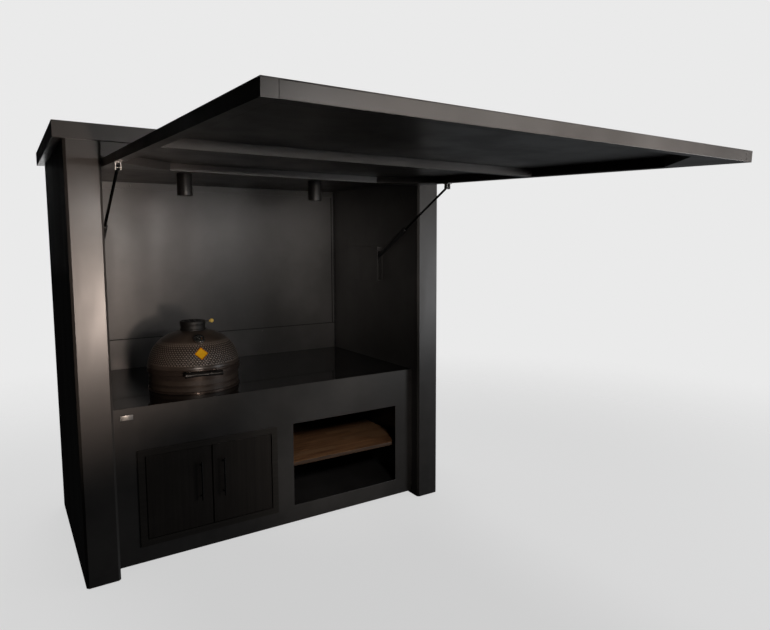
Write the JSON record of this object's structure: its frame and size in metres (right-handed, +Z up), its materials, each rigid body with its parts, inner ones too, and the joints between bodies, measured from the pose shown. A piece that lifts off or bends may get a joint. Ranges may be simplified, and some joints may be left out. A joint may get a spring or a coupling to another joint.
{
  "type": "outdoor barbecue cabinet",
  "caption": "Roofed outdoor barbecue cabinet: a charcoal kamado in a worktop over a cupboard and an open niche, with a canopy that folds down over the front on gas springs.",
  "frame": {"origin": "on the floor, under the middle of the box that holds the whole object with its canopy open", "axes": "+X to the right as seen from the front, +Y to the back of the cabinet, +Z up"},
  "size_m": [2.34, 3.335, 2.35],
  "materials": {
    "shell_paint": "semi-gloss powder coat",
    "lining_paint": "semi-gloss powder coat",
    "door_paint": "satin dark bronze",
    "black_paint": "satin black",
    "worktop_stone": "polished",
    "shelf_wood": "oiled",
    "pads": "matte",
    "kamado_glaze": "semi-gloss glaze with a dimpled belt",
    "fire_clay": "matte",
    "steel": "brushed",
    "band_steel": "satin taupe",
    "chrome": "polished",
    "vent_iron": "painted",
    "plain_brass": "polished",
    "lens": "frosted",
    "plate": "satin"
  },
  "bodies": {
    "cabinet": {"pillar_left": "shell_paint", "pillar_right": "shell_paint", "lining_left": "lining_paint", "lining_right": "lining_paint", "foot_pads": "pads", "roof_cap": "shell_paint", "roof_underplate": "shell_paint", "header": "shell_paint", "ceiling_panel": "lining_paint", "back_panel_upper": "lining_paint", "back_upstand": "lining_paint", "back_panel_lower": "shell_paint", "back_trim": "lining_paint", "base_front": "shell_paint", "base_floor": "shell_paint", "divider": "shell_paint", "worktop": "worktop_stone", "name_plate": "plate", "door_surround": "door_paint", "door_pivots": "steel", "niche_shelf": "shelf_wood", "shelf_rests": "shell_paint", "spot_housings": "black_paint", "spot_lenses": "lens", "canopy_shafts": "steel", "strut_faces": "lining_paint", "strut_rims": "lining_paint", "strut_studs": "steel", "kamado_stand": "shell_paint", "worktop_ring": "band_steel", "kamado_shell": "kamado_glaze", "lower_band": "band_steel", "fire_box": "fire_clay", "fire_plate": "fire_clay", "grates": "steel", "draft_frame": "steel"},
    "door_left": {"door_left": "door_paint", "handle_left": "black_paint"},
    "door_right": {"door_right": "door_paint", "handle_right": "black_paint"},
    "canopy": {"side_rails": "shell_paint", "cross_rails": "shell_paint", "corner_gussets": "shell_paint", "canopy_skin": "shell_paint", "pivot_blocks": "steel", "bracket_left": "steel", "bracket_right": "steel"},
    "rod_left": {"rod_left": "black_paint"},
    "rod_right": {"rod_right": "black_paint"},
    "cylinder_left": {"cylinder_left": "black_paint"},
    "cylinder_right": {"cylinder_right": "black_paint"},
    "draft_door": {"draft_door": "steel"},
    "kamado_lid": {"lid_shell": "kamado_glaze", "lid_band": "band_steel", "lid_hinge": "band_steel", "lid_handle": "black_paint", "thermometer": "chrome", "badge": "plain_brass", "vent_base": "vent_iron"},
    "vent_cap": {"vent_cap": "vent_iron"}
  },
  "joints": [
    {"name": "canopy_fold", "type": "hinge", "parent": "cabinet", "child": "canopy", "pos_m": [0, 0.4695, 2.168], "axis": [-1, 0, 0], "range_deg": [-87.6, 0]},
    {"name": "door_left_swing", "type": "hinge", "parent": "cabinet", "child": "door_left", "pos_m": [-0.7955, 0.5285, 0.39], "axis": [0, 0, -1], "range_deg": [0, 95]},
    {"name": "door_right_swing", "type": "hinge", "parent": "cabinet", "child": "door_right", "pos_m": [-0.0905, 0.5285, 0.39], "axis": [0, 0, 1], "range_deg": [0, 95]},
    {"name": "lid_open", "type": "hinge", "parent": "cabinet", "child": "kamado_lid", "pos_m": [-0.39955, 1.18839, 1.006], "axis": [-0.9962, 0.0872, 0], "range_deg": [0, 65]},
    {"name": "vent_turn", "type": "hinge", "parent": "kamado_lid", "child": "vent_cap", "pos_m": [-0.425, 0.8975, 1.2815], "axis": [0, 0, -1], "range_deg": [0, 60]},
    {"name": "draft_slide", "type": "slide", "parent": "cabinet", "child": "draft_door", "axis": [0.9962, -0.0872, 0], "range_m": [0, 0.1]},
    {"name": "rod_left_swing", "type": "hinge", "parent": "canopy", "child": "rod_left", "pos_m": [-0.94, 0.11466, 2.10909], "axis": [1, 0, 0], "range_deg": [-80.72, 0]},
    {"name": "spring_left_stroke", "type": "slide", "parent": "rod_left", "child": "cylinder_left", "axis": [0, 0.8785, -0.4777], "range_m": [-0.4885, 0]},
    {"name": "rod_right_swing", "type": "hinge", "parent": "canopy", "child": "rod_right", "pos_m": [0.94, 0.11466, 2.10909], "axis": [1, 0, 0], "range_deg": [-80.72, 0]},
    {"name": "spring_right_stroke", "type": "slide", "parent": "rod_right", "child": "cylinder_right", "axis": [0, 0.8785, -0.4777], "range_m": [-0.4885, 0]}
  ],
  "couplings": [
    {"joint": "rod_left_swing", "follows": "canopy_fold", "ratio": 0.92151},
    {"joint": "spring_left_stroke", "follows": "canopy_fold", "m_per_rad": 0.31951},
    {"joint": "rod_right_swing", "follows": "canopy_fold", "ratio": 0.92151},
    {"joint": "spring_right_stroke", "follows": "canopy_fold", "m_per_rad": 0.31951}
  ]
}
